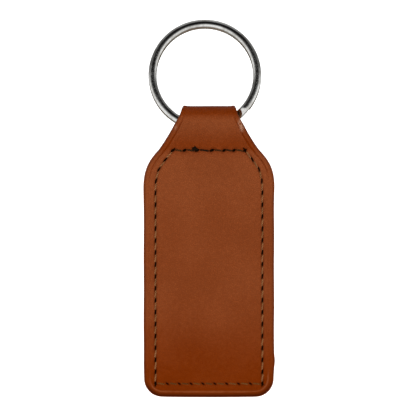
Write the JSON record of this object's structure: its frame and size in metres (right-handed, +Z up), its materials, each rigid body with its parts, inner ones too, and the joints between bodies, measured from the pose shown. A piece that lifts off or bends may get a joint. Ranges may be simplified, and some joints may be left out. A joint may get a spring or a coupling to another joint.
{
  "type": "leather key fob with split ring",
  "caption": "Stitched leather key fob: a flat tag with a folded neck that hangs and swings on a steel split ring.",
  "frame": {"origin": "middle of the top of the ring's inside, where a hook or the eye of a key bears", "axes": "+Z up along the hanging fob, -Y out of the front face, +X to the right seen from the front"},
  "size_m": [0.0354, 0.0099, 0.1018],
  "materials": {
    "nickel_steel": "bright nickel plate on spring steel",
    "tan_leather": "smooth tan leather, soft sheen, fine grain",
    "fibre_board": "bonded leather fibre board, hidden",
    "tan_thread": "twisted polyester sewing thread",
    "edge_paint": "dark brown flexible edge paint, satin"
  },
  "bodies": {
    "ring": {"split_ring": "nickel_steel"},
    "loop": {"loop_leather": "tan_leather"},
    "tag": {"front_leather": "tan_leather", "back_leather": "tan_leather", "stiffener_board": "fibre_board", "needle_thread": "tan_thread", "bobbin_thread": "tan_thread", "edge_coat": "edge_paint"}
  },
  "joints": [
    {"name": "ring_swing", "type": "hinge", "parent": "ring", "child": "loop", "pos_m": [0.0011, -0.00348, -0.02476], "axis": [1, 0, 0], "range_deg": [-88, 72]},
    {"name": "neck_bend", "type": "hinge", "parent": "loop", "child": "tag", "pos_m": [0.0011, -0.00348, -0.03176], "axis": [1, 0, 0], "range_deg": [-35, 35], "stiffness_Nm_per_rad": 0.012}
  ]
}
